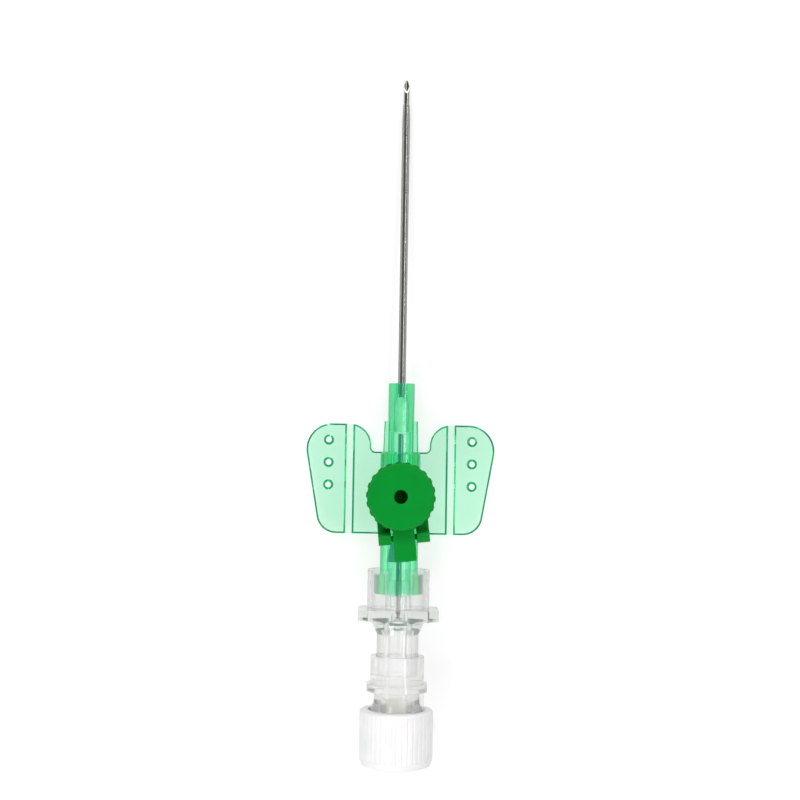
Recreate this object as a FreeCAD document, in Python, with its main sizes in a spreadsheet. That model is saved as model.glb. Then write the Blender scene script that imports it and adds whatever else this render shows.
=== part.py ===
import FreeCAD, Part
import math
import os
import re
import Sketcher

# Ported intravenous cannula with wings, in millimetres.
# Every piece is drawn in the instrument's own frame. Its Y axis is the needle's axis and points
# to the needle's tip, its Z axis is the axis of the injection port, and its origin is where they meet.
# At the end all pieces share one placement, which lays the instrument down as it rests on a table.

os.makedirs("parts", exist_ok=True)
doc = FreeCAD.newDocument("iv_cannula")

SIZES = {
    # needle, 1.3 mm catheter size
    "needle_radius": 0.475,
    "needle_bore": 0.35,
    "needle_tip": 68.3,
    "bevel_length": 2.6,
    "lancet_length": 1.9,
    "lancet_turn": 45.0,
    "needle_tail": 1.0,
    # catheter tube
    "tube_radius": 0.65,
    "tube_length": 45.8,
    "tube_tip_radius": 0.53,
    "tube_tip_taper": 2.8,
    "tube_clearance": 0.02,
    "grip_squeeze": 0.02,
    "grip_run": 0.2,
    # steel wedge in the nose
    "wedge_length": 5.6,
    "wedge_taper": 1.2,
    "wedge_depth": 2.2,
    "wedge_wall": 0.09,
    "wedge_rear_bore": 0.7,
    "wedge_lip": 0.3,
    "flare_run": 0.6,
    # hub: nose, fins and barrel
    "nose_front": 18.1,
    "nose_length": 6.1,
    "nose_radius": 2.14,
    "shoulder": 7.0,
    "fin_reach_front": 2.68,
    "fin_reach_rear": 2.85,
    "fin_thickness": 1.3,
    "fin_edge": 0.2,
    "barrel_radius": 3.25,
    "barrel_end": 7.0,
    "edge_break": 0.3,
    "fluid_bore": 1.25,
    # hub: luer end
    "hub_rear": 15.75,
    "luer_outer": 3.08,
    "luer_mouth": 2.15,
    "luer_taper": 0.03,
    "luer_depth": 9.9,
    "lug_radius": 3.95,
    "lug_inner": 2.1,
    "lug_length": 3.1,
    "lug_setback": 0.15,
    # silicone sleeve
    "sleeve_radius": 1.9,
    "sleeve_bore": 1.3,
    "sleeve_length": 9.0,
    "sleeve_clearance": 0.03,
    # injection port
    "tower_radius": 3.1,
    "seat_radius": 2.7,
    "seat_bottom": 4.9,
    "seat_height": 2.0,
    "bead_radius": 2.95,
    "bead_height": 0.6,
    "port_outer": 2.78,
    "port_top": 9.1,
    "port_mouth": 2.15,
    "port_depth": 5.4,
    "port_hole": 1.1,
    # wings
    "wing_drop": 3.6,
    "wing_thickness": 0.65,
    "wing_edge": 0.25,
    "wing_span": 16.2,
    "wing_front": 11.6,
    "wing_rear": 6.3,
    "wing_rear_span": 13.05,
    "wing_notch_floor": 7.1,
    "wing_notch_half": 4.8,
    "wing_front_corner": 4.2,
    "wing_rear_corner": 3.2,
    "wing_inner_corner": 3.5,
    "wing_notch_corner": 0.7,
    "flex_groove": 8.3,
    "flex_groove_width": 1.65,
    "flex_groove_depth": 0.35,
    "flex_groove_slope": 0.3,
    "hole_radius": 0.47,
    "hole_bevel": 0.37,
    "hole_row": 11.75,
    "hole_first": 1.6,
    "hole_pitch": 3.67,
    # closure of the port
    "closure_turn": 5.5,
    "collar_clearance": 0.06,
    "collar_end_gap": 0.05,
    "collar_radius": 4.2,
    "hinge_back": 6.4,
    "hinge_height": 8.0,
    "knuckle_radius": 0.95,
    "knuckle_gap": 4.0,
    "lug_thickness": 2.0,
    "pin_radius": 0.45,
    "pin_clearance": 0.05,
    "pin_reach": 1.3,
    "side_clearance": 0.3,
    "cap_top": 10.3,
    "cap_thickness": 1.1,
    "cap_radius": 5.2,
    "rim_radius": 5.4,
    "rim_top": 9.75,
    "rim_bottom": 7.4,
    "skirt_inner": 4.45,
    "tooth_count": 22,
    "notch_depth": 0.16,
    "notch_width": 0.6,
    "recess_radius": 1.08,
    "recess_depth": 2.9,
    "plug_radius": 2.02,
    "plug_tip_radius": 1.75,
    "plug_bottom": 6.7,
    "barrel_knuckle": 0.8,
    "thumb_tab_width": 3.4,
    "thumb_tab_end": 10.0,
    "thumb_tab_thickness": 0.8,
    "thumb_tab_rise": 0.5,
    # steel safety clip
    "clip_rear": 10.4,
    "clip_sheet": 0.2,
    "clip_half_width": 1.78,
    "clip_half_height": 0.8,
    "clip_hole": 0.52,
    "clip_arm_length": 5.6,
    "clip_arm_base": 1.35,
    "clip_arm_tip": 0.6,
    "clip_lip": 0.5,
    # clear needle hub
    "hood_radius": 5.0,
    "hood_bore": 4.35,
    "hood_front": 11.8,
    "hood_slot_half": 1.7,
    "hood_flat": 4.75,
    "flange_front": 18.05,
    "flange_thickness": 1.75,
    "flange_half_width": 6.45,
    "flange_corner": 1.6,
    "cone_length": 2.2,
    "cone_gap": 0.03,
    "glue_gap": 0.01,
    "shoulder_radius": 4.15,
    "shoulder_drop": 0.65,
    "neck_drop": 1.65,
    "chamber_radius": 3.37,
    "chamber_bore": 1.55,
    "chamber_front": 18.7,
    "chamber_rear": 28.4,
    # clear vent plug
    "plug_fit": 0.05,
    "collar_front": 25.6,
    "collar_outer": 4.3,
    "stop_gap": 0.1,
    "ring_front": 29.9,
    "ring_width": 1.3,
    "ring_radius": 4.87,
    "plug_waist": 3.7,
    "plug_flare": 4.4,
    "flare_front": 33.0,
    "flare_slope": 1.7,
    "plug_rib": 1.2,
    "rib_reach": 4.35,
    "plug_rear": 40.0,
    "vent_bore": 1.4,
    "filter_radius": 1.85,
    "filter_front": 32.4,
    "filter_length": 2.5,
    "filter_gap": 0.02,
    # white stopper
    "stopper_front": 34.1,
    "stopper_length": 9.1,
    "stopper_radius": 5.9,
    "stopper_bore": 4.6,
    "stopper_end_wall": 1.3,
    "stopper_corner": 1.3,
    "stopper_edge": 0.25,
    "stopper_cone_gap": 0.05,
    "stopper_cone_length": 6.2,
    "groove_count": 40,
    "groove_width": 0.4,
    "groove_depth": 0.14,
}

sheet = doc.addObject("Spreadsheet::Sheet", "Sizes")
for row, (alias, value) in enumerate(SIZES.items(), start=1):
    sheet.set("A%d" % row, alias)
    sheet.set("B%d" % row, str(value))
    sheet.setAlias("B%d" % row, alias)
doc.recompute()


def bound(text):
    """The same sum, with each named size pointing at its cell of the sheet."""
    return re.sub(r"[a-z]\w+(?![\w(])", lambda word: "Sizes." + word.group(0), text)


def number(text):
    """What a sum of named sizes comes to."""
    return float(sheet.evalExpression(bound(text)))


def new_body(label):
    body = doc.addObject("PartDesign::Body", label)
    body.Label = label
    return body


def new_sketch(body, name, role, offset=None):
    """An empty sketch on one of the body's own origin planes, or at a distance along its normal."""
    sketch = body.newObject("Sketcher::SketchObject", name)
    plane = [item for item in body.Origin.OriginFeatures if item.Role == role][0]
    sketch.AttachmentSupport = (plane, [""])
    sketch.MapMode = "FlatFace"
    if offset:
        sketch.setExpression("AttachmentOffset.Base.z", bound(offset))
    return sketch


def tie(sketch, edge, end, across, up):
    """Holds one point of the sketch at two sums of named sizes from the origin."""
    for kind, text in (("DistanceX", across), ("DistanceY", up)):
        spot = sketch.addConstraint(Sketcher.Constraint(kind, -1, 1, edge, end, number(text)))
        sketch.setExpression("Constraints[%d]" % spot, bound(text))


def add_outline(sketch, corners):
    """A closed run of straight lines through corners, each given as two sums of named sizes."""
    points = [FreeCAD.Vector(number(across), number(up), 0) for across, up in corners]
    first = sketch.GeometryCount
    count = len(points)
    for step in range(count):
        sketch.addGeometry(Part.LineSegment(points[step], points[(step + 1) % count]), False)
    for step in range(count):
        following = first + (step + 1) % count
        sketch.addConstraint(Sketcher.Constraint("Coincident", first + step, 2, following, 1))
    for step, (across, up) in enumerate(corners):
        tie(sketch, first + step, 1, across, up)


def add_circle(sketch, across, up, radius):
    centre = FreeCAD.Vector(number(across), number(up), 0)
    edge = sketch.addGeometry(Part.Circle(centre, FreeCAD.Vector(0, 0, 1), number(radius)), False)
    tie(sketch, edge, 3, across, up)
    spot = sketch.addConstraint(Sketcher.Constraint("Radius", edge, number(radius)))
    sketch.setExpression("Constraints[%d]" % spot, bound(radius))


def outline(body, name, role, corners, offset=None):
    sketch = new_sketch(body, name, role, offset)
    add_outline(sketch, corners)
    return sketch


def feature(body, kind, name, sketch):
    made = body.newObject("PartDesign::" + kind, name)
    made.Profile = sketch
    sketch.Visibility = False
    return made


def revolve(body, name, sketch):
    """Turned solid about the sketch's upright axis."""
    made = feature(body, "Revolution", name, sketch)
    made.ReferenceAxis = (sketch, ["V_Axis"])
    made.Angle = 360
    doc.recompute()
    return made


def groove(body, name, sketch):
    """Turned cut about the sketch's upright axis."""
    before = body.Shape.Volume
    made = feature(body, "Groove", name, sketch)
    made.ReferenceAxis = (sketch, ["V_Axis"])
    made.Angle = 360
    doc.recompute()
    demand_cut(body, name, before)
    return made


def pad(body, name, sketch, length, midplane=False, backwards=False):
    made = feature(body, "Pad", name, sketch)
    made.setExpression("Length", bound(length))
    made.Midplane = midplane
    made.Reversed = backwards
    doc.recompute()
    return made


def pocket(body, name, sketch, length=None, midplane=False, backwards=False):
    """Straight cut of a given length, or through everything on both sides where none is given."""
    before = body.Shape.Volume
    made = feature(body, "Pocket", name, sketch)
    if length:
        made.setExpression("Length", bound(length))
    else:
        made.Type = 1
    made.Midplane = midplane
    made.Reversed = backwards
    doc.recompute()
    demand_cut(body, name, before)
    return made


def demand_cut(body, name, before):
    """Stops the build where a cut has taken nothing off."""
    if body.Shape.Volume > before - 1e-6:
        raise RuntimeError(name + " cuts nothing")


def polar(body, name, originals, axis, count):
    made = body.newObject("PartDesign::PolarPattern", name)
    made.Originals = originals
    made.Axis = axis
    made.Angle = 360
    made.setExpression("Occurrences", bound(count))
    body.Tip = made
    doc.recompute()
    return made


def mirror(body, name, originals, role):
    made = body.newObject("PartDesign::Mirrored", name)
    plane = [item for item in body.Origin.OriginFeatures if item.Role == role][0]
    made.Originals = originals
    made.MirrorPlane = (plane, [""])
    body.Tip = made
    doc.recompute()
    return made


def upright_edges(shape, spots):
    """Names of the edges along Z whose middle stands over one of the given spots."""
    names = []
    for index, edge in enumerate(shape.Edges, start=1):
        box = edge.BoundBox
        for across, up in spots:
            near = abs(box.Center.x - across) + abs(box.Center.y - up) < 0.01
            if near and box.XLength + box.YLength < 0.001:
                names.append("Edge%d" % index)
    return names


def level_edges(shape, level):
    """Names of the edges that lie flat at a height, with the edges themselves."""
    found = []
    for index, edge in enumerate(shape.Edges, start=1):
        box = edge.BoundBox
        if abs(box.ZMin - level) < 0.001 and abs(box.ZMax - level) < 0.001:
            found.append(("Edge%d" % index, edge))
    return found


def bevel_edges(body, name, base, names, size):
    made = body.newObject("PartDesign::Chamfer", name)
    made.Base = (base, names)
    made.setExpression("Size", bound(size))
    doc.recompute()
    return made


def round_edges(body, name, base, names, radius):
    made = body.newObject("PartDesign::Fillet", name)
    made.Base = (base, names)
    made.setExpression("Radius", bound(radius))
    doc.recompute()
    return made


# Catheter hub: one translucent green moulding. The nose grips the tube, the barrel carries the wings
# and the port tower, and the luer end takes the needle hub or an infusion line.
hub = new_body("catheter_hub")
barrel = outline(hub, "barrel_profile", "XY_Plane", [
    ("0", "nose_front"),
    ("nose_radius", "nose_front"),
    ("nose_radius", "shoulder"),
    ("barrel_radius - edge_break", "shoulder"),
    ("barrel_radius", "shoulder - edge_break"),
    ("barrel_radius", "0 - barrel_end"),
    ("luer_outer", "0 - barrel_end"),
    ("luer_outer", "0 - hub_rear"),
    ("0", "0 - hub_rear"),
])
revolve(hub, "barrel", barrel)
fins = outline(hub, "fin_outline", "XY_Plane", [
    ("0 - fin_reach_front", "nose_front - nose_length"),
    ("fin_reach_front", "nose_front - nose_length"),
    ("fin_reach_rear", "shoulder - edge_break"),
    ("0 - fin_reach_rear", "shoulder - edge_break"),
])
fin_pad = pad(hub, "fins", fins, "fin_thickness", midplane=True)
fin_rim = [
    name for name, edge in level_edges(fin_pad.Shape, -number("fin_thickness / 2"))
    if abs(edge.BoundBox.Center.x) > number("fin_reach_front")
]
bevel_edges(hub, "fin_bevels", fin_pad, fin_rim, "fin_edge")
tower = outline(hub, "tower_profile", "XZ_Plane", [
    ("0", "0"),
    ("tower_radius", "0"),
    ("tower_radius", "seat_bottom"),
    ("seat_radius", "seat_bottom"),
    ("seat_radius", "seat_bottom + seat_height"),
    ("bead_radius", "seat_bottom + seat_height"),
    ("port_outer", "seat_bottom + seat_height + bead_height"),
    ("port_outer", "port_top"),
    ("0", "port_top"),
])
revolve(hub, "tower", tower)

# The wings are one plate that passes under the barrel, with round corners and a notch each side of the nose.
# Its lower edge and its suture holes are bevelled from below, and a groove under each wing lets it fold.
NOTCH_FLOOR = ("wing_notch_half", "wing_notch_floor")
NOTCH_TOP = ("wing_notch_half", "wing_front")
FRONT_CORNER = ("wing_span", "wing_front")
REAR_CORNER = ("wing_rear_span", "0 - wing_rear")
right_half = [NOTCH_FLOOR, NOTCH_TOP, FRONT_CORNER, REAR_CORNER]
left_half = [("0 - " + across, up) for across, up in reversed(right_half)]
wing_plate = outline(hub, "wing_outline", "XY_Plane", right_half + left_half, "0 - wing_drop")
rounded = pad(hub, "wings", wing_plate, "wing_thickness")
for name, radius, (across, up) in (
    ("wing_front_rounds", "wing_front_corner", FRONT_CORNER),
    ("wing_inner_rounds", "wing_inner_corner", NOTCH_TOP),
    ("wing_notch_rounds", "wing_notch_corner", NOTCH_FLOOR),
    ("wing_rear_rounds", "wing_rear_corner", REAR_CORNER),
):
    spots = [(number(across), number(up)), (-number(across), number(up))]
    rounded = round_edges(hub, name, rounded, upright_edges(rounded.Shape, spots), radius)
under = number("0 - wing_drop")
rim = [name for name, edge in level_edges(rounded.Shape, under)]
bevel_edges(hub, "wing_bevel", rounded, rim, "wing_edge")
GROOVE_LEFT = "flex_groove - flex_groove_width / 2"
GROOVE_RIGHT = "flex_groove + flex_groove_width / 2"
flex = outline(hub, "flex_groove_outline", "XZ_Plane", [
    (GROOVE_LEFT, "0 - wing_drop"),
    (GROOVE_RIGHT, "0 - wing_drop"),
    (GROOVE_RIGHT + " - flex_groove_slope", "flex_groove_depth - wing_drop"),
    (GROOVE_LEFT + " + flex_groove_slope", "flex_groove_depth - wing_drop"),
])
flex_cut = pocket(hub, "flex_groove", flex, midplane=True)
mirror(hub, "flex_grooves", [flex_cut], "YZ_Plane")
hole_sketch = new_sketch(hub, "suture_hole_circles", "XY_Plane", "0 - wing_drop")
for side in ("hole_row", "0 - hole_row"):
    for place in range(3):
        add_circle(hole_sketch, side, "hole_first + hole_pitch * %d" % place, "hole_radius")
holes = pocket(hub, "suture_holes", hole_sketch, "wing_thickness", backwards=True)
mouths = [name for name, edge in level_edges(holes.Shape, under) if edge.isClosed()]
bevel_edges(hub, "suture_hole_bevels", holes, mouths, "hole_bevel")

# Two luer lugs: a round of the lug radius with its middle left out.
lug = new_sketch(hub, "lug_outline", "XZ_Plane", "hub_rear - lug_setback - lug_length")
reach = number("lug_radius")
inner = number("lug_inner")
half = math.sqrt(reach * reach - inner * inner)
low_end = FreeCAD.Vector(inner, -half, 0)
high_end = FreeCAD.Vector(inner, half, 0)
lug.addGeometry(Part.LineSegment(high_end, low_end), False)
lug.addGeometry(Part.Arc(low_end, FreeCAD.Vector(reach, 0, 0), high_end), False)
lug.addConstraint(Sketcher.Constraint("Coincident", 0, 2, 1, 1))
lug.addConstraint(Sketcher.Constraint("Coincident", 0, 1, 1, 2))
lug.addConstraint(Sketcher.Constraint("Coincident", 1, 3, -1, 1))
lug.addConstraint(Sketcher.Constraint("Vertical", 0))
spot = lug.addConstraint(Sketcher.Constraint("DistanceX", -1, 1, 0, 1, inner))
lug.setExpression("Constraints[%d]" % spot, bound("lug_inner"))
spot = lug.addConstraint(Sketcher.Constraint("Radius", 1, reach))
lug.setExpression("Constraints[%d]" % spot, bound("lug_radius"))
lug_pad = pad(hub, "luer_lug", lug, "lug_length")
mirror(hub, "luer_lugs", [lug_pad], "YZ_Plane")

# The bore: a hole for the tube that narrows towards the nose's mouth, a flare round the wedge, the fluid
# path, the seat of the silicone sleeve and the six per cent luer cone.
FLARE_FRONT = "nose_front - wedge_depth + flare_run"
WEDGE_FRONT = "nose_front - wedge_depth"
WEDGE_WIDE = "nose_front - wedge_depth - wedge_taper"
WEDGE_REAR = "nose_front - wedge_depth - wedge_length"
GRIP_RADIUS = "tube_radius - grip_squeeze"
TUBE_BORE = "needle_radius + tube_clearance"
WEDGE_OUTER = "wedge_rear_bore + wedge_wall"
FLARE_OUTER = WEDGE_OUTER + " + tube_radius - needle_radius - tube_clearance"
bore = outline(hub, "bore_profile", "XY_Plane", [
    ("0", "nose_front"),
    (GRIP_RADIUS, "nose_front"),
    ("tube_radius", FLARE_FRONT),
    (FLARE_OUTER, WEDGE_WIDE),
    (FLARE_OUTER, WEDGE_REAR),
    ("fluid_bore", WEDGE_REAR),
    ("fluid_bore", "sleeve_length / 2"),
    ("sleeve_radius", "sleeve_length / 2"),
    ("sleeve_radius", "0 - sleeve_length / 2"),
    ("luer_mouth - luer_taper * luer_depth", "0 - sleeve_length / 2"),
    ("luer_mouth - luer_taper * luer_depth", "luer_depth - hub_rear"),
    ("luer_mouth", "0 - hub_rear"),
    ("0", "0 - hub_rear"),
])
groove(hub, "bore", bore)
port_bore = outline(hub, "port_bore_profile", "XZ_Plane", [
    ("0", "0"),
    ("port_hole", "0"),
    ("port_hole", "port_top - port_depth"),
    ("port_mouth - luer_taper * port_depth", "port_top - port_depth"),
    ("port_mouth", "port_top"),
    ("0", "port_top"),
])
groove(hub, "port_bore", port_bore)

# Catheter tube: clear plastic, drawn down onto the needle at its tip and flared over the wedge at its root.
# The nose's mouth squeezes it a little, and it recovers just outside.
tube = new_body("catheter_tube")
TUBE_TIP = "nose_front + tube_length"
tube_profile = outline(tube, "tube_profile", "XY_Plane", [
    (TUBE_BORE, TUBE_TIP),
    ("tube_tip_radius", TUBE_TIP),
    ("tube_radius", TUBE_TIP + " - tube_tip_taper"),
    ("tube_radius", "nose_front + grip_run"),
    (GRIP_RADIUS, "nose_front"),
    ("tube_radius", FLARE_FRONT),
    (FLARE_OUTER, WEDGE_WIDE),
    (FLARE_OUTER, WEDGE_REAR),
    (WEDGE_OUTER, WEDGE_REAR),
    (WEDGE_OUTER, WEDGE_WIDE),
    (TUBE_BORE, FLARE_FRONT),
])
revolve(tube, "tube", tube_profile)

# Steel eyelet: pressed into the tube's flared end, it guides the needle and stops at its lip. Its front
# end starts inside the flare, where the flare has opened by the share that the run in front of it takes.
wedge = new_body("catheter_wedge")
FLARE_SHARE = "flare_run / (flare_run + wedge_taper)"
WEDGE_NOSE = "(" + TUBE_BORE + ") * (1 - " + FLARE_SHARE + ") + (" + WEDGE_OUTER + ") * " + FLARE_SHARE
wedge_profile = outline(wedge, "wedge_profile", "XY_Plane", [
    (WEDGE_NOSE + " - wedge_wall", WEDGE_FRONT),
    (WEDGE_NOSE, WEDGE_FRONT),
    (WEDGE_OUTER, WEDGE_WIDE),
    (WEDGE_OUTER, WEDGE_REAR),
    (FLARE_OUTER, WEDGE_REAR),
    (FLARE_OUTER, WEDGE_REAR + " - wedge_lip"),
    ("wedge_rear_bore", WEDGE_REAR + " - wedge_lip"),
    ("wedge_rear_bore", WEDGE_WIDE),
])
revolve(wedge, "wedge", wedge_profile)

# Silicone sleeve: covers the port's hole from inside and lifts off it when something is injected.
sleeve = new_body("valve_sleeve")
sleeve_profile = outline(sleeve, "sleeve_profile", "XY_Plane", [
    ("sleeve_bore", "sleeve_length / 2 - sleeve_clearance"),
    ("sleeve_radius - sleeve_clearance", "sleeve_length / 2 - sleeve_clearance"),
    ("sleeve_radius - sleeve_clearance", "sleeve_clearance - sleeve_length / 2"),
    ("sleeve_bore", "sleeve_clearance - sleeve_length / 2"),
])
revolve(sleeve, "sleeve", sleeve_profile)

# Safety clip: one folded steel strip. The back plate has the needle's hole, and an arm from its upper
# left and one from its lower right reach forward to lips that rest beside the needle.
clip = new_body("safety_clip")
plate = outline(clip, "back_plate_outline", "XZ_Plane", [
    ("0 - clip_half_width", "0 - clip_half_height"),
    ("clip_half_width - clip_arm_base", "0 - clip_half_height"),
    ("clip_half_width", "0 - clip_half_height"),
    ("clip_half_width", "clip_half_height / 2"),
    ("clip_half_width - clip_sheet * 2", "clip_half_height"),
    ("0 - clip_half_width", "clip_half_height"),
], "clip_rear")
add_circle(plate, "0", "0", "clip_hole")
pad(clip, "back_plate", plate, "clip_sheet")
for side, level in (("0 - ", "clip_half_height - clip_sheet"), ("", "0 - clip_half_height")):
    flip = "0 - " if side else "0 + "
    arm = outline(clip, "arm_outline", "XY_Plane", [
        (flip + "clip_half_width", "0 - clip_rear - clip_sheet"),
        (flip + "(clip_half_width - clip_arm_base)", "0 - clip_rear - clip_sheet"),
        (flip + "clip_sheet", "clip_arm_length - clip_rear"),
        (flip + "(clip_sheet + clip_arm_tip)", "clip_arm_length - clip_rear"),
    ], level)
    pad(clip, "arm", arm, "clip_sheet")
    low = "clip_lip" if side else "0 - clip_half_height"
    lip = outline(clip, "lip_outline", "XY_Plane", [
        (flip + "clip_sheet", "clip_arm_length - clip_rear - clip_sheet"),
        (flip + "clip_sheet", "clip_arm_length - clip_rear"),
        (flip + "(clip_sheet + clip_arm_tip)", "clip_arm_length - clip_rear"),
        (flip + "(clip_sheet + clip_arm_tip)", "clip_arm_length - clip_rear - clip_sheet"),
    ], low)
    pad(clip, "lip", lip, "clip_half_height - clip_lip")

# Needle: drawn steel tube, glued into the needle hub. Its point has a long ground bevel and two shorter
# lancet grinds. Each grind is a wedge whose lower face starts at the point and climbs across the needle,
# and the lancet grinds are drawn on a plane that is turned about the needle's axis. Each is drawn up to
# one radius above the needle's wall, and one radius wider than the needle on both sides.
needle = new_body("needle_tube")
NEEDLE_END = "0 - chamber_front - needle_tail"
needle_profile = outline(needle, "needle_profile", "XY_Plane", [
    ("needle_bore", "needle_tip"),
    ("needle_radius", "needle_tip"),
    ("needle_radius", NEEDLE_END),
    ("needle_bore", NEEDLE_END),
])
revolve(needle, "needle", needle_profile)
GRIND_TOP = "needle_radius * 2"
GRIND_WIDTH = "needle_radius * 4"
BEVEL_HEEL = "bevel_length / (needle_radius * 2) * (" + GRIND_TOP + " + needle_radius)"
bevel = outline(needle, "bevel_outline", "YZ_Plane", [
    ("needle_tip", "0 - needle_radius"),
    ("needle_tip + needle_radius", "0 - needle_radius"),
    ("needle_tip + needle_radius", GRIND_TOP),
    ("needle_tip - " + BEVEL_HEEL, GRIND_TOP),
])
pocket(needle, "bevel", bevel, GRIND_WIDTH, midplane=True)
LANCET_LOW = "0 - needle_radius * cos(lancet_turn)"
LANCET_SLOPE = "lancet_length / (needle_radius + needle_radius * cos(lancet_turn))"
LANCET_HEEL = LANCET_SLOPE + " * (" + GRIND_TOP + " + needle_radius * cos(lancet_turn))"
lancet = outline(needle, "lancet_outline", "YZ_Plane", [
    ("needle_tip", LANCET_LOW),
    ("needle_tip + needle_radius", LANCET_LOW),
    ("needle_tip + needle_radius", GRIND_TOP),
    ("needle_tip - " + LANCET_HEEL, GRIND_TOP),
])
lancet.AttachmentOffset = FreeCAD.Placement(FreeCAD.Vector(), FreeCAD.Rotation(FreeCAD.Vector(1, 0, 0), 1))
lancet.setExpression("AttachmentOffset.Rotation.Angle", bound("lancet_turn"))
lancet_cut = pocket(needle, "lancet", lancet, GRIND_WIDTH, midplane=True)
mirror(needle, "lancets", [lancet_cut], "YZ_Plane")

# Needle hub: one clear moulding. A short cone seats in the luer bore, the hood's two arms reach round
# the luer lugs, and the finger flange and the flash chamber lie behind.
holder = new_body("needle_hub")
FLANGE_REAR = "0 - flange_front - flange_thickness"
CONE_REAR = "luer_mouth - cone_gap"
holder_profile = outline(holder, "holder_profile", "XY_Plane", [
    ("0", "cone_length - hub_rear"),
    (CONE_REAR + " - luer_taper * cone_length", "cone_length - hub_rear"),
    (CONE_REAR, "0 - hub_rear"),
    (CONE_REAR, "0 - flange_front"),
    ("hood_bore", "0 - flange_front"),
    ("hood_bore", "0 - hood_front"),
    ("hood_radius", "0 - hood_front"),
    ("hood_radius", FLANGE_REAR),
    ("shoulder_radius", FLANGE_REAR + " - shoulder_drop"),
    ("chamber_radius", FLANGE_REAR + " - shoulder_drop - neck_drop"),
    ("chamber_radius", "0 - chamber_rear"),
    ("0", "0 - chamber_rear"),
])
revolve(holder, "turned_body", holder_profile)
flange = outline(holder, "flange_outline", "XZ_Plane", [
    ("0 - flange_half_width", "flange_corner - hood_flat"),
    ("flange_corner - flange_half_width", "0 - hood_flat"),
    ("flange_half_width - flange_corner", "0 - hood_flat"),
    ("flange_half_width", "flange_corner - hood_flat"),
    ("flange_half_width", "hood_flat - flange_corner"),
    ("flange_half_width - flange_corner", "hood_flat"),
    ("flange_corner - flange_half_width", "hood_flat"),
    ("0 - flange_half_width", "hood_flat - flange_corner"),
], "flange_front")
pad(holder, "finger_flange", flange, "flange_thickness")
flats = new_sketch(holder, "flats_outline", "XZ_Plane", "hood_front")
slots = new_sketch(holder, "slots_outline", "XZ_Plane", "hood_front")
for sign in ("0 + ", "0 - "):
    add_outline(flats, [
        ("0 - hood_radius", sign + "hood_flat"),
        ("hood_radius", sign + "hood_flat"),
        ("hood_radius", sign + "hood_radius"),
        ("0 - hood_radius", sign + "hood_radius"),
    ])
    add_outline(slots, [
        ("0 - hood_slot_half", sign + "hood_bore / 2"),
        ("hood_slot_half", sign + "hood_bore / 2"),
        ("hood_slot_half", sign + "hood_radius"),
        ("0 - hood_slot_half", sign + "hood_radius"),
    ])
pocket(holder, "flats", flats, "flange_front + flange_thickness + shoulder_drop - hood_front", backwards=True)
pocket(holder, "slots", slots, "hub_rear - hood_front", backwards=True)
chamber = outline(holder, "chamber_profile", "XY_Plane", [
    ("0", "cone_length - hub_rear"),
    ("needle_radius + glue_gap", "cone_length - hub_rear"),
    ("needle_radius + glue_gap", "0 - chamber_front"),
    ("chamber_bore", "0 - chamber_front"),
    ("chamber_bore", "0 - chamber_rear"),
    ("0", "0 - chamber_rear"),
])
groove(holder, "flash_chamber", chamber)

# Vent plug: one clear moulding, pushed over the flash chamber's open end. Air leaves through its filter.
# Behind the finger ring it has a waist with a rib on the right, and widens again into the stopper's mouth.
vent = new_body("vent_plug")
SEAT_FLOOR = "0 - chamber_rear - stop_gap"
FILTER_REAR = "0 - filter_front - filter_length"
vent_profile = outline(vent, "vent_profile", "XY_Plane", [
    ("chamber_radius + plug_fit", "0 - collar_front"),
    ("collar_outer", "0 - collar_front"),
    ("collar_outer", "0 - ring_front"),
    ("ring_radius", "0 - ring_front"),
    ("ring_radius", "0 - ring_front - ring_width"),
    ("plug_waist", "0 - ring_front - ring_width"),
    ("plug_waist", "0 - flare_front"),
    ("plug_flare", "0 - flare_front - flare_slope"),
    ("plug_flare", "0 - plug_rear"),
    ("luer_mouth", "0 - plug_rear"),
    ("luer_mouth - luer_taper * (plug_rear - filter_front - filter_length)", FILTER_REAR),
    ("filter_radius", FILTER_REAR),
    ("filter_radius", "0 - filter_front"),
    ("vent_bore", "0 - filter_front"),
    ("vent_bore", SEAT_FLOOR),
    ("chamber_radius + plug_fit", SEAT_FLOOR),
])
revolve(vent, "plug", vent_profile)
rib = outline(vent, "rib_outline", "XZ_Plane", [
    ("vent_bore + filter_radius", "0 - plug_rib / 2"),
    ("rib_reach", "0 - plug_rib / 2"),
    ("rib_reach", "plug_rib / 2"),
    ("vent_bore + filter_radius", "plug_rib / 2"),
], "ring_front + ring_width")
pad(vent, "rib", rib, "flare_front + flare_slope - ring_front - ring_width")

# Filter: a porous plug that lets air through and holds blood back.
vent_filter = new_body("vent_filter")
filter_profile = outline(vent_filter, "filter_profile", "XY_Plane", [
    ("0", "0 - filter_front"),
    ("filter_radius - filter_gap", "0 - filter_front"),
    ("filter_radius - filter_gap", FILTER_REAR),
    ("0", FILTER_REAR),
])
revolve(vent_filter, "filter", filter_profile)

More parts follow.
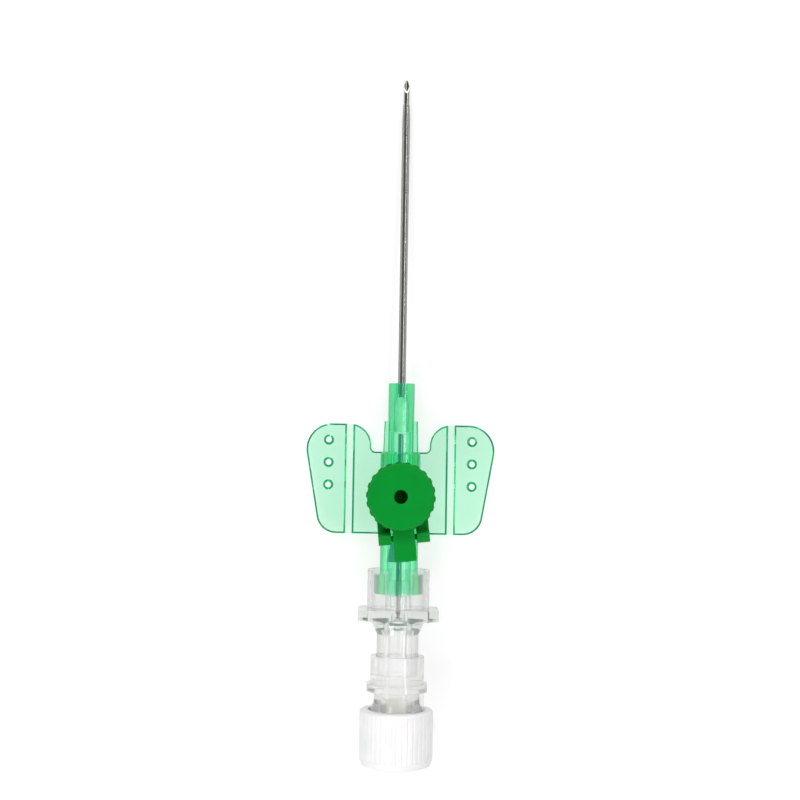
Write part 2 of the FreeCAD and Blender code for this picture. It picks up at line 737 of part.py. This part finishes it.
# Stopper: white screw cap with a luer cone inside and fine grip grooves outside.
stopper = new_body("luer_stopper")
STOPPER_REAR = "0 - stopper_front - stopper_length"
CONE_TIP = STOPPER_REAR + " + stopper_end_wall + stopper_cone_length"
CONE_AT_MOUTH = "luer_mouth - stopper_cone_gap"
CONE_INSIDE = "stopper_cone_length - stopper_front - stopper_length + stopper_end_wall + plug_rear"
CORNER_INSET = "stopper_corner * (1 - cos(45))"
stopper_profile = outline(stopper, "stopper_profile", "XY_Plane", [
    ("stopper_bore", "0 - stopper_front"),
    ("stopper_radius - stopper_edge", "0 - stopper_front"),
    ("stopper_radius", "0 - stopper_front - stopper_edge"),
    ("stopper_radius", STOPPER_REAR + " + stopper_corner"),
    ("stopper_radius - " + CORNER_INSET, STOPPER_REAR + " + " + CORNER_INSET),
    ("stopper_radius - stopper_corner", STOPPER_REAR),
    ("0", STOPPER_REAR),
    ("0", CONE_TIP),
    (CONE_AT_MOUTH + " - luer_taper * (" + CONE_INSIDE + ")", CONE_TIP),
    (CONE_AT_MOUTH, "0 - plug_rear"),
    (CONE_AT_MOUTH, STOPPER_REAR + " + stopper_end_wall"),
    ("stopper_bore", STOPPER_REAR + " + stopper_end_wall"),
])
revolve(stopper, "cap", stopper_profile)
grip = outline(stopper, "groove_outline", "XZ_Plane", [
    ("stopper_radius - groove_depth", "0"),
    ("stopper_radius + groove_depth", "0 - groove_width"),
    ("stopper_radius + groove_depth", "groove_width"),
], "stopper_front + stopper_edge * 2")
GRIP_LENGTH = "stopper_length - stopper_corner - stopper_edge * 2"
grip_cut = pocket(stopper, "grip_groove", grip, GRIP_LENGTH, backwards=True)
polar(stopper, "grip_grooves", [grip_cut], (grip, ["N_Axis"]), "groove_count")

# Collar: a ring that snaps under the bead of the port tower and turns on it, with two lugs for the
# cap's hinge.
collar = new_body("port_collar")
COLLAR_LOW = "seat_bottom + collar_end_gap"
COLLAR_HIGH = "seat_bottom + seat_height - collar_end_gap"
ring = outline(collar, "ring_profile", "XZ_Plane", [
    ("seat_radius + collar_clearance", COLLAR_LOW),
    ("collar_radius", COLLAR_LOW),
    ("collar_radius", COLLAR_HIGH),
    ("seat_radius + collar_clearance", COLLAR_HIGH),
])
revolve(collar, "ring", ring)
KNUCKLE_BACK = "0 - hinge_back - knuckle_radius"
KNUCKLE_FRONT = "knuckle_radius - hinge_back"
arm = outline(collar, "lug_arm_outline", "YZ_Plane", [
    ("0 - knuckle_gap / 2 - collar_clearance", COLLAR_LOW),
    ("0 - collar_radius - knuckle_radius", COLLAR_LOW),
    (KNUCKLE_BACK, COLLAR_HIGH),
    (KNUCKLE_BACK, "hinge_height"),
    (KNUCKLE_FRONT, "hinge_height"),
    (KNUCKLE_FRONT, COLLAR_HIGH + " + edge_break"),
    ("0 - collar_radius", COLLAR_HIGH),
    ("0 - knuckle_gap / 2 - collar_clearance", COLLAR_HIGH),
], "knuckle_gap / 2")
arm_pad = pad(collar, "lug_arm", arm, "lug_thickness")
knuckle = new_sketch(collar, "knuckle_circle", "YZ_Plane", "knuckle_gap / 2")
add_circle(knuckle, "0 - hinge_back", "hinge_height", "knuckle_radius")
knuckle_pad = pad(collar, "knuckle", knuckle, "lug_thickness")
mirror(collar, "lugs", [arm_pad, knuckle_pad], "YZ_Plane")
pin_hole = new_sketch(collar, "pin_hole_circle", "YZ_Plane")
add_circle(pin_hole, "0 - hinge_back", "hinge_height", "pin_radius + pin_clearance")
pocket(collar, "pin_holes", pin_hole, "knuckle_gap + pin_reach * 2 + pin_clearance * 2", midplane=True)

# Cap: a toothed snap cap. Its plug closes the port, its barrel turns between the collar's lugs, and the
# tab behind is pressed down to flip it open.
cap = new_body("port_cap")
UNDERSIDE = "cap_top - cap_thickness"
cap_profile = outline(cap, "cap_profile", "XZ_Plane", [
    ("0", "cap_top"),
    ("cap_radius - edge_break", "cap_top"),
    ("cap_radius", "cap_top - edge_break"),
    ("cap_radius", "rim_top"),
    ("rim_radius", "rim_top"),
    ("rim_radius", "rim_bottom"),
    ("skirt_inner", "rim_bottom"),
    ("skirt_inner", UNDERSIDE),
    ("plug_radius", UNDERSIDE),
    ("plug_tip_radius", "plug_bottom"),
    ("0", "plug_bottom"),
])
revolve(cap, "cap", cap_profile)
recess = outline(cap, "recess_profile", "XZ_Plane", [
    ("0", "cap_top"),
    ("recess_radius", "cap_top"),
    ("recess_radius", "cap_top - recess_depth"),
    ("0", "cap_top - recess_depth"),
])
groove(cap, "centre_recess", recess)
notch = outline(cap, "notch_outline", "XY_Plane", [
    ("rim_radius - notch_depth", "0 - notch_width / 2"),
    ("rim_radius + notch_depth", "0 - notch_width"),
    ("rim_radius + notch_depth", "notch_width"),
    ("rim_radius - notch_depth", "notch_width / 2"),
], "rim_bottom")
notch_cut = pocket(cap, "rim_notch", notch, "rim_top - rim_bottom", backwards=True)
polar(cap, "rim_notches", [notch_cut], (notch, ["N_Axis"]), "tooth_count")
BARREL_WIDTH = "knuckle_gap - side_clearance * 2"
bridge = outline(cap, "bridge_outline", "YZ_Plane", [
    ("0 - skirt_inner - notch_depth", "hinge_height - barrel_knuckle"),
    ("0 - skirt_inner - notch_depth", "hinge_height + barrel_knuckle"),
    ("0 - hinge_back", "hinge_height + barrel_knuckle"),
    ("0 - hinge_back", "hinge_height - barrel_knuckle"),
])
pad(cap, "bridge", bridge, BARREL_WIDTH, midplane=True)
turn = new_sketch(cap, "barrel_circle", "YZ_Plane")
add_circle(turn, "0 - hinge_back", "hinge_height", "barrel_knuckle")
pad(cap, "hinge_barrel", turn, BARREL_WIDTH, midplane=True)
pins = new_sketch(cap, "pin_circle", "YZ_Plane")
add_circle(pins, "0 - hinge_back", "hinge_height", "pin_radius")
pad(cap, "hinge_pins", pins, "knuckle_gap + pin_reach * 2", midplane=True)
TAB_TOP = "hinge_height + barrel_knuckle"
thumb = outline(cap, "thumb_tab_outline", "YZ_Plane", [
    ("0 - hinge_back", TAB_TOP + " - thumb_tab_thickness"),
    ("0 - hinge_back", TAB_TOP),
    ("0 - thumb_tab_end", TAB_TOP + " + thumb_tab_rise"),
    ("0 - thumb_tab_end", TAB_TOP + " + thumb_tab_rise - thumb_tab_thickness"),
])
pad(cap, "thumb_tab", thumb, "thumb_tab_width", midplane=True)

# Rest: the instrument lies on the wings' underside, at the bevel along their front, and on the stopper's
# front rim.
# The closure stands a little turned on its tower, as it was left.
tilt = math.degrees(math.atan2(
    number("stopper_radius - wing_drop"),
    number("wing_front - wing_edge + stopper_front + stopper_edge"),
))
lay_down = FreeCAD.Placement(FreeCAD.Vector(), FreeCAD.Rotation(FreeCAD.Vector(1, 0, 0), -tilt))
about_tower = FreeCAD.Rotation(FreeCAD.Vector(0, 0, 1), number("closure_turn"))
turned = FreeCAD.Placement(FreeCAD.Vector(), about_tower)
bodies = [item for item in doc.Objects if item.TypeId == "PartDesign::Body"]
for piece in bodies:
    piece.Placement = lay_down.multiply(turned) if piece in (collar, cap) else lay_down
doc.recompute()
boxes = [piece.Shape.optimalBoundingBox(False, False) for piece in bodies]
front = max(box.YMax for box in boxes)
rear = min(box.YMin for box in boxes)
floor = min(box.ZMin for box in boxes)
shift = FreeCAD.Placement(FreeCAD.Vector(0, -(front + rear) / 2, -floor), FreeCAD.Rotation())
for piece in bodies:
    piece.Placement = shift.multiply(piece.Placement)
doc.recompute()

for item in doc.Objects:
    if "Invalid" in item.State or "Error" in item.State:
        raise RuntimeError(item.Label + " failed: " + str(item.State))
for piece in bodies:
    if piece.Shape.isNull() or not piece.Shape.isValid():
        raise RuntimeError(piece.Label + " has no valid shape")
    if len(piece.Shape.Solids) != 1:
        raise RuntimeError(piece.Label + " is not one solid")
for piece in bodies:
    piece.Shape.exportStep("parts/%s.step" % piece.Label)
    print(piece.Label, round(piece.Shape.Volume, 3), piece.Shape.BoundBox)
print("tilt", tilt, "shift", shift.Base)
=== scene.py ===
import bpy
import math
import numpy as np
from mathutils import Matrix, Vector


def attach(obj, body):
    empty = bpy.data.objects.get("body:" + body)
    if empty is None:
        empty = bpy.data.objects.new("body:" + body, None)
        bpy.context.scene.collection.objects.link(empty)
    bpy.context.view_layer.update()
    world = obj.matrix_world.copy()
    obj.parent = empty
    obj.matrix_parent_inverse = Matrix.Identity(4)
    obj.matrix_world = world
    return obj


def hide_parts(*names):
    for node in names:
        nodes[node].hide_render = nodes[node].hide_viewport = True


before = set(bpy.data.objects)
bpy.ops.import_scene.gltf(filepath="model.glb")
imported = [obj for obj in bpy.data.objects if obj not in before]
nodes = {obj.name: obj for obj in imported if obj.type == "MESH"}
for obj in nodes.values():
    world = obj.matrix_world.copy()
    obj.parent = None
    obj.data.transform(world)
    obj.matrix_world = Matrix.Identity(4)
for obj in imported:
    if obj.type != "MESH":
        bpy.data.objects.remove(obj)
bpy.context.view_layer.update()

# The camera looks straight down on the instrument as it lies, from 23 cm, with the needle's point at
# the top of the image. It stands a little to the left of the needle, and its shift brings the needle
# back to the middle. The instrument leans by one degree in the photograph, so the camera is turned.
MILLI = 0.001
IMAGE_PIXELS = 800
FOCAL_PIXELS = 1400.0
SENSOR_MILLIMETRES = 36.0
EYE_HEIGHT = 230.2 * MILLI
EYE_RIGHT = -3.4 * MILLI
EYE_FORWARD = 3.0 * MILLI
NEEDLE_RIGHT = -0.21 * MILLI
LEAN = math.radians(1.0)
eye = bpy.data.cameras.new("photo_camera")
eye.sensor_width = SENSOR_MILLIMETRES
eye.lens = FOCAL_PIXELS / IMAGE_PIXELS * SENSOR_MILLIMETRES
eye.clip_start = 0.005
eye.clip_end = 20.0
eye.shift_x = (NEEDLE_RIGHT - EYE_RIGHT) * FOCAL_PIXELS / EYE_HEIGHT / IMAGE_PIXELS
camera = bpy.data.objects.new("photo_camera", eye)
camera.location = (EYE_RIGHT, EYE_FORWARD, EYE_HEIGHT)
camera.rotation_euler = (0.0, 0.0, LEAN)
bpy.context.scene.collection.objects.link(camera)
bpy.context.scene.camera = camera
bpy.context.scene.view_settings.view_transform = "Standard"


# The floor is a wide sheet of matt white paper. It glows for the rays that look at it, straight or
# by way of plastic and steel, so that it shows white and still keeps the soft shadow.
def new_material(name):
    """An empty node material, with its tree and its output node."""
    material = bpy.data.materials.new(name)
    material.use_nodes = True
    tree = material.node_tree
    tree.nodes.clear()
    output = tree.nodes.new("ShaderNodeOutputMaterial")
    return material, tree, output


def add_node(tree, kind, **values):
    """A node of one kind, with the named inputs set. An underscore stands for a space."""
    made = tree.nodes.new("ShaderNode" + kind)
    for name, value in values.items():
        made.inputs[name.replace("_", " ")].default_value = value
    return made


def any_of(tree, *kinds):
    """One where the ray is of any of the named Light Path kinds, and nought elsewhere."""
    path = tree.nodes.new("ShaderNodeLightPath")
    total = path.outputs[kinds[0]]
    for kind in kinds[1:]:
        larger = tree.nodes.new("ShaderNodeMath")
        larger.operation = "MAXIMUM"
        tree.links.new(total, larger.inputs[0])
        tree.links.new(path.outputs[kind], larger.inputs[1])
        total = larger.outputs[0]
    return total


FLOOR_HALF = 1.6
PAPER_GREY = 0.5
PAPER_GLOW = 0.55
paper, tree, output = new_material("paper_white")
matt = add_node(tree, "BsdfDiffuse", Color=(PAPER_GREY, PAPER_GREY, PAPER_GREY, 1.0))
glow = add_node(tree, "Emission", Color=(1.0, 1.0, 1.0, 1.0))
share = tree.nodes.new("ShaderNodeMath")
share.operation = "MULTIPLY"
share.inputs[1].default_value = PAPER_GLOW
both = tree.nodes.new("ShaderNodeAddShader")
tree.links.new(any_of(tree, "Is Camera Ray", "Is Glossy Ray", "Is Transmission Ray"), share.inputs[0])
tree.links.new(share.outputs[0], glow.inputs["Strength"])
tree.links.new(matt.outputs[0], both.inputs[0])
tree.links.new(glow.outputs[0], both.inputs[1])
tree.links.new(both.outputs[0], output.inputs["Surface"])
corners = [
    (-FLOOR_HALF, -FLOOR_HALF, 0.0),
    (FLOOR_HALF, -FLOOR_HALF, 0.0),
    (FLOOR_HALF, FLOOR_HALF, 0.0),
    (-FLOOR_HALF, FLOOR_HALF, 0.0),
]
sheet = bpy.data.meshes.new("floor_paper")
sheet.from_pydata(corners, [], [(0, 1, 2, 3)])
sheet.materials.append(paper)
floor = bpy.data.objects.new("floor_paper", sheet)
bpy.context.scene.collection.objects.link(floor)


# Studio light: four soft boxes stand off the needle's own plane, so that the needle doesn't mirror
# them. A dim wide box and a bright strip on the right draw the needle's light line, and a box beyond
# its point lights the ground bevel. The room is bright near the horizon and dim overhead.
def soft_box(name, place, width, length, watts, through=False):
    """A right-angled area lamp at place that faces the instrument. Clear plastic shows its image only
    where through is set, so that the main lamps make no sparks in it."""
    lamp = bpy.data.lights.new(name, "AREA")
    lamp.shape = "RECTANGLE"
    lamp.size = width
    lamp.size_y = length
    lamp.energy = watts
    holder = bpy.data.objects.new(name, lamp)
    holder.location = place
    holder.rotation_mode = "QUATERNION"
    holder.rotation_quaternion = (-Vector(place)).to_track_quat("-Z", "Y")
    holder.visible_transmission = through
    bpy.context.scene.collection.objects.link(holder)


def two_tone(tree, low_at, low, high_at, high):
    """A colour that runs from low to high while its factor runs from low_at to high_at."""
    tone = tree.nodes.new("ShaderNodeValToRGB")
    start, end = tone.color_ramp.elements
    start.position = low_at
    start.color = low
    end.position = high_at
    end.color = high
    return tone


soft_box("front_left_box", place=(-0.36, -0.5, 0.48), width=0.45, length=0.4, watts=3.4)
soft_box("front_right_box", place=(0.34, -0.5, 0.48), width=0.45, length=0.4, watts=1.1)
soft_box("rear_left_box", place=(-0.34, 0.6, 0.5), width=0.4, length=0.4, watts=2.75)
soft_box("rear_right_box", place=(0.36, 0.6, 0.48), width=0.4, length=0.4, watts=1.0)
soft_box("bevel_box", place=(0.0, 0.62, 0.4), width=0.3, length=0.25, watts=0.8)
soft_box("right_wide_box", place=(0.24, 0.0, 0.58), width=0.6, length=0.3, watts=0.3, through=True)
soft_box("right_strip_box", place=(0.35, 0.0, 0.53), width=0.7, length=0.08, watts=1.15, through=True)
HORIZON_LIGHT = (0.66, 0.66, 0.66, 1.0)
OVERHEAD_LIGHT = (0.1, 0.1, 0.105, 1.0)
room = bpy.data.worlds.new("studio_room")
room.use_nodes = True
bpy.context.scene.world = room
tree = room.node_tree
tree.nodes.clear()
output = tree.nodes.new("ShaderNodeOutputWorld")
look = tree.nodes.new("ShaderNodeTexCoord")
split = tree.nodes.new("ShaderNodeSeparateXYZ")
fade = two_tone(tree, low_at=0.04, low=HORIZON_LIGHT, high_at=0.55, high=OVERHEAD_LIGHT)
air = add_node(tree, "Background", Strength=1.0)
tree.links.new(look.outputs["Generated"], split.inputs[0])
tree.links.new(split.outputs["Z"], fade.inputs["Fac"])
tree.links.new(fade.outputs["Color"], air.inputs["Color"])
tree.links.new(air.outputs[0], output.inputs["Surface"])


# Catheter hub: one moulding of translucent green plastic, with nose, fins, wings, port and luer end.
# Its colour comes from the thickness that the light crosses, so the thin wings are pale and the solid
# nose is full green. Its skin has a faint painted green glow that stands in for the light the plastic
# scatters, and a painted dark teal shade at its edges where they are seen at a low angle.
WATER_WHITE = (1.0, 1.0, 1.0, 1.0)
NO_PAINTED_GLOW = (0.0, 0.0, 0.0, 1.0)
LIGHT_LET_THROUGH = (0.96, 0.96, 0.96, 1.0)
POLISH_WAVES_PER_METRE = 700.0
MET_SQUARELY = 0.24
MET_LOW = 0.56


def wavering(tree, vector, scale, middle, low=0.6, high=1.4):
    """A value that a noise spreads between low and high times its middle, for a roughness."""
    cloud = add_node(tree, "TexNoise", Scale=scale, Detail=2.0)
    spread = tree.nodes.new("ShaderNodeMapRange")
    spread.inputs["To Min"].default_value = middle * low
    spread.inputs["To Max"].default_value = middle * high
    tree.links.new(vector, cloud.inputs["Vector"])
    tree.links.new(cloud.outputs[0], spread.inputs["Value"])
    return spread.outputs[0]


def clear_plastic(name, index, roughness, haze, tint, density, painted_glow=NO_PAINTED_GLOW, face=WATER_WHITE,
                  painted_edge_shade=WATER_WHITE):
    """Glass-like plastic of one refractive index that lets the lamps through, with a share of milky
    haze and a painted glow: the skin emits the given colour in place of scattered light. A tint that grows
    with thickness is an absorbing volume of the given density in each metre. The skin passes the face
    colour where it is met squarely and a painted edge shade where it is met at a low angle, standing in
    for the light that the rounded edges of clear plastic bend aside."""
    material, tree, output = new_material(name)
    skin = add_node(tree, "BsdfPrincipled", IOR=index)
    skin.inputs["Transmission Weight"].default_value = 1.0 - haze
    # Painted glow: the skin emits this colour, in place of the light that the plastic scatters.
    skin.inputs["Emission Color"].default_value = painted_glow
    skin.inputs["Emission Strength"].default_value = 1.0
    place = tree.nodes.new("ShaderNodeTexCoord")
    polish = wavering(tree, place.outputs["Object"], POLISH_WAVES_PER_METRE, roughness)
    tree.links.new(polish, skin.inputs["Roughness"])
    # Painted edge shade: the colour runs to the edge colour where the skin is met at a low angle, in place
    # of the light that rounded edges bend aside.
    facing = add_node(tree, "LayerWeight", Blend=0.5)
    face_to_painted_edge = two_tone(tree, low_at=MET_SQUARELY, low=face, high_at=MET_LOW, high=painted_edge_shade)
    tree.links.new(facing.outputs["Facing"], face_to_painted_edge.inputs["Fac"])
    tree.links.new(face_to_painted_edge.outputs["Color"], skin.inputs["Base Color"])
    open_way = add_node(tree, "BsdfTransparent", Color=LIGHT_LET_THROUGH)
    choice = tree.nodes.new("ShaderNodeMixShader")
    tree.links.new(any_of(tree, "Is Shadow Ray", "Is Diffuse Ray"), choice.inputs[0])
    tree.links.new(skin.outputs[0], choice.inputs[1])
    tree.links.new(open_way.outputs[0], choice.inputs[2])
    tree.links.new(choice.outputs[0], output.inputs["Surface"])
    body = add_node(tree, "VolumeAbsorption", Color=tint, Density=density)
    tree.links.new(body.outputs[0], output.inputs["Volume"])
    return material


def dress(node, material):
    """Gives a carried-over node its finish."""
    mesh = nodes[node].data
    mesh.materials.clear()
    mesh.materials.append(material)


hub_green = clear_plastic(
    "hub_green", index=1.53, roughness=0.04, haze=0.005, tint=(0.08, 0.84, 0.42, 1.0), density=620.0,
    painted_glow=(0.0, 0.09, 0.058, 1.0), face=(1.0, 0.87, 0.9, 1.0), painted_edge_shade=(0.02, 0.4, 0.27, 1.0),
)
dress("catheter_hub", hub_green)


# Catheter tube: extruded clear fluoropolymer, drawn down at its tip and flared over the wedge at its
# root. The needle's silicone oil wets it, so no air shows between them: in front of the flare its bore
# starts a hair inside the needle's steel. This finer skin takes the place of the carried-over node.
LIE = math.radians(2.88116)
AXIS_START = np.array([0.0, -12.40659, 4.16595])
SHARP_BEND = math.radians(25.0)


def turned_piece(name, profile, sectors, material):
    """A closed profile of (along, radius) pairs in millimetres, swept round the needle's axis. Point k of
    the profile at the angle a goes to (radius * cos a, along, radius * sin a), which is then laid down by
    the instrument's lie. Neighbours in both directions of the grid make the faces."""
    along, radius = np.asarray(profile, dtype=float).T
    angle = np.linspace(0.0, 2.0 * np.pi, sectors, endpoint=False)
    across = np.outer(np.cos(angle), radius)
    up = np.outer(np.sin(angle), radius)
    run = np.broadcast_to(along, across.shape)
    laid = np.stack([
        across,
        run * math.cos(LIE) + up * math.sin(LIE),
        up * math.cos(LIE) - run * math.sin(LIE),
    ], axis=-1)
    points = (laid + AXIS_START).reshape(-1, 3) * MILLI
    count = len(along)
    row, spot = np.meshgrid(np.arange(sectors), np.arange(count), indexing="ij")
    row_next = (row + 1) % sectors
    spot_next = (spot + 1) % count
    faces = np.stack([
        row * count + spot,
        row * count + spot_next,
        row_next * count + spot_next,
        row_next * count + spot,
    ], axis=-1).reshape(-1, 4)
    mesh = bpy.data.meshes.new(name)
    mesh.from_pydata(points.tolist(), [], faces.tolist())
    mesh.polygons.foreach_set("use_smooth", np.ones(len(faces), dtype=bool))
    mesh.set_sharp_from_angle(angle=SHARP_BEND)
    mesh.materials.append(material)
    made = bpy.data.objects.new(name, mesh)
    bpy.context.scene.collection.objects.link(made)
    return made


# Its edges get a faint painted shade where they are seen at a low angle.
tube_clear = clear_plastic(
    "tube_clear", index=1.34, roughness=0.08, haze=0.03, tint=(0.5, 0.5, 0.48, 1.0), density=900.0,
    painted_edge_shade=(0.9, 0.9, 0.9, 1.0),
)
dress("catheter_tube", tube_clear)
WETTED_BORE = 0.47
TUBE_RADIUS = 0.65
GRIP_RADIUS = 0.63
FLARED_BORE = 0.79
FLARED_RADIUS = 0.945
ROOT = 10.3
FLARE_END = 14.7
NECK = 16.5
NOSE_FRONT = 18.1
GRIP_END = 18.3
TIP = 63.9
TUBE_SECTORS = 96
inside = [(TIP, WETTED_BORE), (NECK, WETTED_BORE), (FLARE_END, FLARED_BORE), (ROOT, FLARED_BORE)]
outside = [(ROOT, FLARED_RADIUS), (FLARE_END, FLARED_RADIUS), (NECK, TUBE_RADIUS)]
grip = [(NOSE_FRONT, GRIP_RADIUS), (GRIP_END, TUBE_RADIUS)]
drawn_tip = [(60.6, TUBE_RADIUS), (61.1, 0.645), (62.6, 0.585), (63.7, 0.535), (63.85, 0.52), (TIP, 0.5)]
tube_profile = inside + outside + grip + drawn_tip
tube_skin = turned_piece("catheter_tube_skin", tube_profile, TUBE_SECTORS, tube_clear)
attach(tube_skin, "catheter")
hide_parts("catheter_tube")


# Wedge: a pressed steel eyelet, driven into the flared root of the tube so that the tube is held fast
# in the hub's nose. Seen through both plastics it is a pale, dull band.
LINES_PER_METRE = (9000.0, 250.0, 9000.0)


def drawn_steel(name, colour, roughness):
    """Steel whose roughness wavers along the fine lines that the drawing leaves in the needle's run."""
    material, tree, output = new_material(name)
    skin = add_node(tree, "BsdfPrincipled", Base_Color=colour, Metallic=1.0)
    place = tree.nodes.new("ShaderNodeTexCoord")
    stretch = tree.nodes.new("ShaderNodeMapping")
    stretch.inputs["Scale"].default_value = LINES_PER_METRE
    tree.links.new(place.outputs["Object"], stretch.inputs[0])
    lines = wavering(tree, stretch.outputs[0], scale=1.0, middle=roughness, low=0.7)
    tree.links.new(lines, skin.inputs["Roughness"])
    tree.links.new(skin.outputs[0], output.inputs["Surface"])
    return material


wedge_steel = drawn_steel("wedge_steel", colour=(0.95, 0.94, 0.92, 1.0), roughness=0.6)
dress("catheter_wedge", wedge_steel)


# Valve sleeve: a short tube of milky silicone rubber, pushed into the barrel under the port. It closes
# the port's hole until an injection presses it in.
CLOUDS_PER_METRE = 400.0
CLOUD_SHADE = 0.93
PEEL_WAVES_PER_METRE = 2500.0
PEEL_HEIGHT = 0.05 * MILLI
LIGHT_DEPTH = 0.6 * MILLI


def opaque_plastic(name, colour, roughness, peel, soft=0.0, shine=0.5):
    """Opaque moulded plastic. Its colour wavers by 7 per cent with a coarse noise, and its height with a
    fine one, which is the faint orange peel of a moulding. The light of a soft one goes a little way in."""
    material, tree, output = new_material(name)
    skin = add_node(tree, "BsdfPrincipled", Roughness=roughness)
    skin.inputs["Specular IOR Level"].default_value = shine
    skin.inputs["Subsurface Weight"].default_value = soft
    skin.inputs["Subsurface Scale"].default_value = LIGHT_DEPTH
    shaded = tuple(part * CLOUD_SHADE for part in colour[:3]) + (1.0,)
    place = tree.nodes.new("ShaderNodeTexCoord")
    cloud = add_node(tree, "TexNoise", Scale=CLOUDS_PER_METRE, Detail=3.0)
    tone = two_tone(tree, low_at=0.3, low=shaded, high_at=0.7, high=colour)
    fine = add_node(tree, "TexNoise", Scale=PEEL_WAVES_PER_METRE, Detail=2.0)
    rise = add_node(tree, "Bump", Strength=peel, Distance=PEEL_HEIGHT)
    tree.links.new(place.outputs["Object"], cloud.inputs["Vector"])
    tree.links.new(place.outputs["Object"], fine.inputs["Vector"])
    tree.links.new(cloud.outputs[0], tone.inputs["Fac"])
    tree.links.new(tone.outputs["Color"], skin.inputs["Base Color"])
    tree.links.new(fine.outputs[0], rise.inputs["Height"])
    tree.links.new(rise.outputs["Normal"], skin.inputs["Normal"])
    tree.links.new(skin.outputs[0], output.inputs["Surface"])
    return material


silicone = opaque_plastic("silicone", colour=(0.8, 0.84, 0.78, 1.0), roughness=0.5, peel=0.2, soft=0.3)
dress("valve_sleeve", silicone)

# Safety clip: thin spring steel, stamped and folded, with a hole that the needle runs through and two
# arms that reach forward beside it. It sits in the luer end, and its dark corner shows through it.
clip_steel = drawn_steel("clip_steel", colour=(0.5, 0.5, 0.48, 1.0), roughness=0.25)
dress("safety_clip", clip_steel)

# Needle: a thin tube of drawn and polished stainless steel, ground to a point with three facets and
# glued into the needle hub.
needle_steel = drawn_steel("needle_steel", colour=(0.38, 0.375, 0.36, 1.0), roughness=0.1)
dress("needle_tube", needle_steel)

# Needle hub: one clear moulding with hood, finger flange and flash chamber, polished in its mould. Its
# edges have a painted grey shade where they are seen at a low angle, for the light that they turn far
# aside.
hood_clear = clear_plastic(
    "hood_clear", index=1.5, roughness=0.08, haze=0.1, tint=(0.55, 0.57, 0.53, 1.0), density=50.0,
    painted_edge_shade=(0.64, 0.64, 0.63, 1.0),
)
dress("needle_hub", hood_clear)

# Vent plug: a softer moulding of slightly milky plastic, with a finger ring and a luer cone. It is
# pushed over the rear of the flash chamber and held there by friction.
# Its edges get a painted grey shade where they are seen at a low angle.
plug_clear = clear_plastic(
    "plug_clear", index=1.45, roughness=0.12, haze=0.24, tint=(0.55, 0.57, 0.5, 1.0), density=25.0,
    painted_edge_shade=(0.82, 0.82, 0.8, 1.0),
)
dress("vent_plug", plug_clear)

# Vent filter: a short rod of sintered plastic grains, off-white and rough, pressed into the vent plug.
# It lets the air out of the flash chamber and holds the blood back.
filter_grey = opaque_plastic("filter_grey", colour=(0.9, 0.88, 0.76, 1.0), roughness=0.8, peel=0.9)
dress("vent_filter", filter_grey)

# Luer stopper: white polyethylene, moulded with a blind cone and forty fine grip grooves, and turned on
# to the vent plug's end. Light goes a little way into it, which softens its shade.
stopper_white = opaque_plastic(
    "stopper_white", colour=(0.87, 0.87, 0.875, 1.0), roughness=0.42, peel=0.2, soft=0.15,
)
dress("luer_stopper", stopper_white)

# Closure of the port: a collar that swivels on the hub's tower under a bead, and a snap cap that turns
# on the collar's hinge. Both are moulded in the same opaque green plastic, with a dull gloss.
closure_green = opaque_plastic(
    "closure_green", colour=(0.0, 0.255, 0.025, 1.0), roughness=0.36, peel=0.2, shine=0.15,
)
dress("port_collar", closure_green)
dress("port_cap", closure_green)
